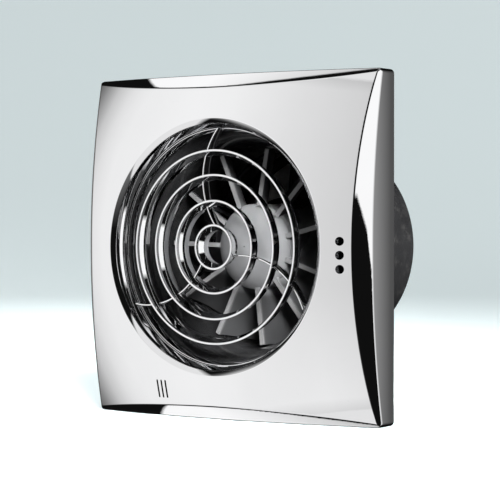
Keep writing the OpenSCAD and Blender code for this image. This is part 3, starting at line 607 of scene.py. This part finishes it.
def metal(name, colour, rough, streak=0.0, depth=0.05):
    """Machined or drawn metal: streaks along the y axis, and tarnish."""
    m, g, b, at = start_material(name)
    b.inputs["Metallic"].default_value = 1.0
    x, y, z = g.add("ShaderNodeSeparateXYZ", {0: at}).outputs
    drawn = g.add("ShaderNodeCombineXYZ", {0: x, 1: g.times(y, 0.08), 2: z}).outputs[0]
    lines = g.noise(drawn, 1800.0, 2.0)
    tarnish = g.noise(at, 70.0, 5.0, 0.65)
    dull = [c * 0.72 for c in colour]
    link(g, g.blend(g.ramp(tarnish, [(0.35, 0), (0.75, 1)]), colour, dull), b.inputs["Base Color"])
    r = g.math("ADD", g.ramp(tarnish, [(0.3, max(rough - 0.06, 0.04)), (0.8, rough + 0.1)]),
               g.math("MULTIPLY", lines, streak))
    link(g, r, b.inputs["Roughness"])
    link(g, g.bump(lines, depth * 4, 0.0001), b.inputs["Normal"])
    return m


def chrome(name):
    """Bright plated chrome: nearly a mirror, with faint ripple, smears and pin-prick specks."""
    m, g, b, at = start_material(name)
    colour = (0.955, 0.957, 0.965)
    b.inputs["Metallic"].default_value = 1.0
    smear = g.noise(at, 22.0, 5.0, 0.6)
    speck = g.noise(at, 900.0, 2.0, 0.5)
    tint = g.blend(g.ramp(smear, [(0.35, 0), (0.7, 1)]), colour, [c * 0.975 for c in colour])
    tint = g.blend(g.ramp(speck, [(0.72, 0), (0.8, 0.12)]), tint, (0.6, 0.61, 0.63))
    link(g, tint, b.inputs["Base Color"])
    link(g, g.ramp(smear, [(0.3, 0.008), (0.75, 0.02)]), b.inputs["Roughness"])
    ripple = g.bump(g.noise(at, 46.0, 2.0), 0.10, 0.0002)
    link(g, g.bump(g.noise(at, 1500.0, 2.0), 0.02, 0.00005, ripple), b.inputs["Normal"])
    return m


def laminate(name):
    """Solder-masked board: a woven weft below, and tracks and pads as a raised pattern."""
    m, g, b, at = start_material(name)
    cells = g.add("ShaderNodeTexVoronoi", {"Vector": at, "Scale": 240.0},
                  distance="MANHATTAN").outputs[0]
    tracks = g.ramp(cells, [(0.30, 0), (0.34, 1), (0.44, 1), (0.48, 0)])
    weave = g.add("ShaderNodeTexWave", {"Vector": at, "Scale": 700.0, "Distortion": 1.0}).outputs[1]
    base = g.blend(g.ramp(weave, [(0, 0), (1, 1)]), (0.030, 0.145, 0.070), (0.040, 0.185, 0.090))
    link(g, g.blend(tracks, base, (0.075, 0.30, 0.15)), b.inputs["Base Color"])
    link(g, g.ramp(tracks, [(0, 0.42), (1, 0.26)]), b.inputs["Roughness"])
    link(g, g.bump(tracks, 0.35, 0.0001), b.inputs["Normal"])
    return m


def copper(name):
    """Enamelled wire wound in layers. Its colour runs from dark in the grooves between turns to
    bright on each turn: painted shade and painted highlight.
    """
    m, g, b, at = start_material(name)
    b.inputs["Metallic"].default_value = 0.85
    wire = g.add("ShaderNodeTexWave", {"Vector": at, "Scale": 950.0, "Distortion": 2.5,
                                       "Detail": 2.0, "Detail Scale": 0.6},
                 bands_direction="DIAGONAL").outputs[1]
    # The copper is darker in the grooves between turns and brighter on each turn's crest, as
    # painted shade and painted highlight.
    link(g, g.blend(wire, (0.24, 0.075, 0.028), (0.62, 0.27, 0.11)), b.inputs["Base Color"])
    link(g, g.ramp(wire, [(0, 0.5), (1, 0.28)]), b.inputs["Roughness"])
    link(g, g.bump(wire, 0.8, 0.0002), b.inputs["Normal"])
    return m


def core(name):
    """A stack of punched steel sheets, seen as fine lines across the motor's axis."""
    m, g, b, at = start_material(name)
    b.inputs["Metallic"].default_value = 0.9
    y = g.add("ShaderNodeSeparateXYZ", {0: at}).outputs[1]
    sheet = g.math("PINGPONG", g.math("MULTIPLY", y, 2000.0), 0.5)
    stain = g.noise(at, 120.0, 5.0)
    link(g, g.blend(g.ramp(sheet, [(0.0, 0), (0.12, 1)]), (0.05, 0.05, 0.055), (0.30, 0.30, 0.31)),
         b.inputs["Base Color"])
    link(g, g.ramp(stain, [(0.3, 0.35), (0.7, 0.6)]), b.inputs["Roughness"])
    link(g, g.bump(sheet, 0.5, 0.0002), b.inputs["Normal"])
    return m


def impeller_plastic(name):
    """Satin plastic. The hub is painted pale as painted light, the blade faces are painted darker
    as painted shade, and the blades' front edges are painted paler as a painted highlight.
    """
    m, g, b, at = start_material(name)
    x, y, z = g.add("ShaderNodeSeparateXYZ", {0: at}).outputs
    radius = g.math("SQRT", g.math("ADD", g.times(x, x), g.times(z, z)))
    past_hub = g.ramp(radius, [(0.0175, 0), (0.024, 1)])
    # front marks the blades' front edges, where a painted highlight goes.
    front = g.ramp(y, [(0.0043, 1), (0.0056, 0)])
    flow = g.noise(at, 60.0, 4.0)
    drift = g.ramp(flow, [(0.3, 0), (0.7, 1)])
    # Lit and shaded copies of one plastic: the hub's colour is pale as painted light, the blades'
    # colour is dark as painted shade.
    hub = g.blend(drift, (0.21, 0.213, 0.22), (0.26, 0.263, 0.27))
    blade = g.blend(drift, (0.036, 0.0365, 0.038), (0.05, 0.0505, 0.052))
    # The blades' front edges are painted paler: a painted highlight.
    blade = g.blend(front, blade, (0.15, 0.15, 0.152))
    link(g, g.blend(past_hub, hub, blade), b.inputs["Base Color"])
    link(g, g.ramp(flow, [(0.3, 0.38), (0.7, 0.5)]), b.inputs["Roughness"])
    link(g, g.bump(g.noise(at, 2400.0, 2.0), 0.15, 0.0002), b.inputs["Normal"])
    return m


def supply_sleeves(name):
    """Brown, blue and black sleeves on leads 0, 1 and 2. The leads lie in lanes 2 mm apart, which
    climb to the board's header. At the block's poles and the header's pins they stand in a row."""
    m, g, b, at = start_material(name)
    brown, blue, black = (0.17, 0.06, 0.022), (0.035, 0.12, 0.34), (0.016, 0.016, 0.018)
    worn = (0.4, 0.4, 0.4)
    first_lane, lane_gap, full_climb = 3.4, 2.0, 10.0
    block_end, block_rise, first_pole, pole_gap = -25.0, 6.3, -46.8, 8.8
    board_edge, first_pin, pin_gap = -36.5, 57.2, 2.0
    x, y, z = g.add("ShaderNodeSeparateXYZ", {0: at}).outputs
    u, v, w = g.times(x, 1000.0), g.times(z, 1000.0), g.times(y, -1000.0)
    climb = g.ramp(v, [(board_edge, 0.86), (-27, 0.15), (-18, 0)])
    floor = g.math("MULTIPLY_ADD", climb, full_climb, first_lane)
    lead = g.math("DIVIDE", g.math("SUBTRACT", w, floor), lane_gap)
    at_block = g.times(g.math("GREATER_THAN", w, block_rise), g.math("LESS_THAN", u, block_end))
    pole = g.math("DIVIDE", g.math("SUBTRACT", u, first_pole), pole_gap)
    at_board = g.math("LESS_THAN", v, board_edge)
    pin = g.math("DIVIDE", g.math("SUBTRACT", first_pin, u), pin_gap)
    for here, number in ((at_block, pole), (at_board, pin)):
        lead = g.math("ADD", lead, g.times(here, g.math("SUBTRACT", number, lead)))
    shade_of = g.blend(g.ramp(lead, [(0.49, 0), (0.51, 1)]), brown, blue)
    shade_of = g.blend(g.ramp(lead, [(1.49, 0), (1.51, 1)]), shade_of, black)
    smear = g.noise(at, 300.0, 4.0)
    shade_of = g.blend(g.ramp(smear, [(0.45, 0), (0.8, 0.15)]), shade_of, worn)
    link(g, shade_of, b.inputs["Base Color"])
    link(g, g.ramp(smear, [(0.3, 0.3), (0.7, 0.45)]), b.inputs["Roughness"])
    link(g, g.bump(g.noise(at, 1500.0, 2.0), 0.12, 0.0002), b.inputs["Normal"])
    return m


finishes = {
    "chrome_plate": chrome("chrome_plate"),
    "housing_plastic": plastic("housing_plastic", (0.008, 0.0081, 0.0086), 0.2, 1900, 0.008, 0.2,
                               0.03, 0.25),
    "impeller_plastic": impeller_plastic("impeller_plastic"),
    "duct_plastic": plastic("duct_plastic", (0.03, 0.03, 0.033), 0.45, 2200, 0.04, 0.15, 0.05),
    "flap_plastic": plastic("flap_plastic", (0.66, 0.66, 0.64), 0.42, 2200, 0.04, 0.05, 0.1),
    "white_plastic": plastic("white_plastic", (0.80, 0.79, 0.75), 0.3, 2600, 0.02, 0.04),
    "seal_rubber": plastic("seal_rubber", (0.022, 0.022, 0.024), 0.8, 1300, 0.12, 0.25, 0.08),
    "zinc_steel": metal("zinc_steel", (0.62, 0.62, 0.58), 0.3, 0.12),
    "spring_steel": metal("spring_steel", (0.50, 0.51, 0.53), 0.28, 0.15),
    "bright_steel": metal("bright_steel", (0.74, 0.75, 0.77), 0.16, 0.1),
    "core_steel": core("core_steel"),
    "motor_aluminium": metal("motor_aluminium", (0.62, 0.63, 0.65), 0.3, 0.18, 0.08),
    "winding_copper": copper("winding_copper"),
    "bush_brass": metal("bush_brass", (0.76, 0.56, 0.24), 0.25, 0.12),
    "board_laminate": laminate("board_laminate"),
    "relay_blue": plastic("relay_blue", (0.045, 0.15, 0.42), 0.25, 2600, 0.02, 0.08),
    "capacitor_yellow": plastic("capacitor_yellow", (0.74, 0.48, 0.06), 0.25, 2600, 0.02, 0.06),
    "chip_black": plastic("chip_black", (0.018, 0.018, 0.02), 0.6, 3200, 0.08, 0.15),
    "trimmer_blue": plastic("trimmer_blue", (0.05, 0.14, 0.40), 0.3, 2600, 0.02, 0.06),
    "trimmer_white": plastic("trimmer_white", (0.84, 0.82, 0.76), 0.35, 2600, 0.03, 0.04),
    "trimmer_yellow": plastic("trimmer_yellow", (0.84, 0.58, 0.11), 0.35, 2600, 0.03, 0.05),
    "sensor_grey": plastic("sensor_grey", (0.68, 0.70, 0.72), 0.4, 2600, 0.03, 0.05),
    "lead_sleeve": plastic("lead_sleeve", (0.09, 0.14, 0.28), 0.38, 1500, 0.02, 0.1),
}

for part in frame["record"]["subparts"]:
    node = frame["nodes"][part["node"]]
    node.data.materials.clear()
    node.data.materials.append(finishes[part["material_slot"]])
    shade(node, 34)
sleeves = frame["nodes"]["supply_leads"].data.materials
sleeves.clear()
sleeves.append(supply_sleeves("supply_sleeves"))


def finish_piece(o, slot, body, *nodes):
    o.data.materials.clear()
    o.data.materials.append(finishes[slot])
    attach(o, body)
    if nodes:
        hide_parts(*nodes)


finish_piece(cover, "chrome_plate", "cover", "front_cover")
finish_piece(cover_bosses, "chrome_plate", "cover")
finish_piece(grille, "chrome_plate", "cover", "grille")
finish_piece(wheel, "impeller_plastic", "fan_wheel", "impeller")


# ---------------------------------------------------------------- light
def studio_world():
    """The studio that the chrome reflects and that fills the plastics' shadows, built of light and
    dark directions. az is a direction's angle round the object, 0 towards the room and positive to
    the right, and el is its height, both in degrees."""
    world = bpy.data.worlds.new("studio")
    bpy.context.scene.world = world
    world.use_nodes = True
    g = Graph(world.node_tree)
    toward = g.add("ShaderNodeTexCoord").outputs["Generated"]
    x, y, z = g.add("ShaderNodeSeparateXYZ", {0: toward}).outputs
    w = g.times(y, -1.0)
    deg = 180 / math.pi
    az = g.times(g.math("ARCTAN2", x, w), deg)
    el = g.times(g.math("ARCSINE", z), deg)
    high = g.math("ABSOLUTE", el)

    # The left light: round about an axis 25 degrees to the left, and wider below.
    a = math.radians(-25)
    on_axis = g.math("ADD", g.times(x, math.sin(a)), g.times(w, math.cos(a)))
    low = g.ramp(el, [(-36, 1), (-20, 0.5), (-8, 0)])
    off_axis = g.math("MULTIPLY_ADD", g.math("ARCCOSINE", on_axis), deg, -1.1)
    off_axis = g.math("MULTIPLY_ADD", low, -1.7, off_axis)
    wide = g.ramp(off_axis, [(0, 1), (41, 1), (44, 0.95), (46, 0.90), (48, 0.80), (50, 0.70),
                             (52, 0.52), (55, 0.28), (59, 0.05), (62, 0)])
    along = g.ramp(az, [(-76, 0.84), (-66, 0.88), (-55, 0.90), (-45, 0.92), (-35, 0.90),
                        (-27, 0.84), (-16, 0.76), (-6, 0.70), (0, 0.66), (3, 0.55), (8, 0.0)])
    along = g.math("ADD", along, g.times(g.ramp(az, [(-30, 0), (-10, 0.16)]), low))
    rise = g.ramp(high, [(0, 1), (32, 1), (36, 0.75), (41, 0.12), (44, 0)])
    left = g.times(g.times(wide, along), rise)

    # The right light, whose near end is cut by a border that drops to the right.
    span = g.ramp(az, [(48, 0), (53, 0.95), (58, 1), (80, 1), (86, 0.8), (108, 0.66),
                       (116, 0.52), (132, 0.36), (147, 0.09), (158, 0.04), (180, 0.02)])
    drop = g.ramp(az, [(50, 0), (61, 0.1), (66.5, 0.45), (70, 1)])
    border = g.math("ADD", el, g.math("MULTIPLY_ADD", drop, 13.0, -7.0))
    above = g.ramp(border, [(-0.35, 0), (0.35, 1)])
    past = g.ramp(az, [(69.5, 0), (70.5, 1)])
    fade = g.ramp(el, [(-31, 0.0), (-25, 1), (25, 1), (31, 0.0)])
    right = g.times(g.times(span, g.most(above, past)), fade)

    # Patches above and below, behind the object's face and to the left.
    tall = g.math("ADD", g.math("MULTIPLY_ADD", w, -26.0, high), z)
    over = g.times(g.ramp(tall, [(51.0, 0), (51.4, 1)]),
                   g.ramp(high, [(52, 1.0), (57, 0.88), (60, 0.80), (64, 0.71), (69, 0.56),
                                 (76, 0.4)]))
    behind = g.ramp(w, [(-0.33, 0), (-0.29, 1), (-0.085, 1), (-0.07, 0)])
    ends = g.times(over, g.times(behind, g.ramp(x, [(-0.24, 1), (-0.04, 0)])))

    # A dim band behind and to the left.
    back = g.times(g.ramp(az, [(-176, 0.04), (-150, 0.14), (-120, 0.22), (-106, 0.2),
                               (-97, 0.02), (-88, 0.0)]),
                   g.ramp(high, [(0, 1), (10, 1), (20, 0)]))

    # Bands above and below in front, which the opening's flare reflects.
    rim = g.times(g.ramp(az, [(-52, 0), (-45, 0.8), (17, 0.8), (21, 0)]),
                  g.ramp(high, [(32.5, 0), (35, 1), (56, 1), (60, 0)]))

    # Straight above.
    crown = g.ramp(el, [(71, 0), (80, 0.75), (90, 0.8)])
    darkest = 0.005
    total = g.most(left, right, ends, back, crown, rim, darkest)
    bg = g.add("ShaderNodeBackground", {"Color": total, "Strength": 1.0})
    g.add("ShaderNodeOutputWorld", {0: bg.outputs[0]})


studio_world()


def soft_light(name, place, size, power, spread=180):
    """A round lamp aimed at the origin, hidden from reflections and from the camera."""
    data = bpy.data.lights.new(name, "AREA")
    data.shape, data.size, data.energy, data.spread = "DISK", size, power, math.radians(spread)
    o = bpy.data.objects.new(name, data)
    o.location = place
    o.rotation_euler = (-Vector(place)).to_track_quat("-Z", "Y").to_euler()
    o.visible_glossy = o.visible_camera = False
    bpy.context.scene.collection.objects.link(o)


soft_light("overhead", (0.0, -0.2, 1.7), 1.4, 26)
soft_light("side", (1.0, -0.92, 0.63), 0.6, 5.5, 24)


# ---------------------------------------------------------------- floor
def studio_bowl(steps=96):
    """A pale floor that curves up into a pale backdrop all round, in metres. It is hidden from
    reflections and casts no light on the object."""
    ground, flat, bend = -0.0792, 1.6, 1.2
    profile = [(0.0, ground), (flat, ground)]
    profile += [(flat + bend * math.sin(t), ground + bend - bend * math.cos(t))
                for t in np.linspace(0.1, math.pi / 2, 14)]
    profile += [(flat + bend, 2.0), (2.2, 2.9), (1.0, 3.3), (0.0, 3.4)]
    turns = [2 * math.pi * k / steps for k in range(steps)]
    pts = [(*polar(r, a), h) for a in turns for r, h in profile]
    faces = [f[::-1] for f in grid_faces(steps, len(profile), wrap_rows=False)]
    mesh = bpy.data.meshes.new("floor")
    mesh.from_pydata(pts, [], faces)
    mesh.polygons.foreach_set("use_smooth", [True] * len(mesh.polygons))
    o = bpy.data.objects.new("floor", mesh)
    bpy.context.scene.collection.objects.link(o)
    m, g, b, at = start_material("floor_paper")
    drift = g.noise(at, 3.0, 3.0)
    link(g, g.blend(drift, (0.66, 0.735, 0.745), (0.68, 0.755, 0.765)), b.inputs["Base Color"])
    b.inputs["Roughness"].default_value = 0.9
    b.inputs["Emission Color"].default_value = (0.66, 0.76, 0.775, 1)
    b.inputs["Emission Strength"].default_value = 0.42
    mesh.materials.append(m)
    o.visible_glossy = o.visible_diffuse = o.visible_shadow = False


studio_bowl()


# ---------------------------------------------------------------- camera
def camera():
    """A long lens from the right, at the photograph's angle."""
    data = bpy.data.cameras.new("camera")
    data.sensor_width, data.lens = 36.0, 144.48
    data.shift_x, data.shift_y = 0.0044, -0.0069
    data.clip_start, data.clip_end = 0.05, 20
    o = bpy.data.objects.new("camera", data)
    az, el, dist = math.radians(34.832), math.radians(0.69), 0.932
    o.location = (dist * math.sin(az) * math.cos(el), -dist * math.cos(az) * math.cos(el),
                  dist * math.sin(el))
    o.rotation_euler = (-o.location).to_track_quat("-Z", "Y").to_euler()
    bpy.context.scene.collection.objects.link(o)
    bpy.context.scene.camera = o


camera()
bpy.context.scene.view_settings.view_transform = "Standard"
bpy.context.scene.view_settings.look = "None"
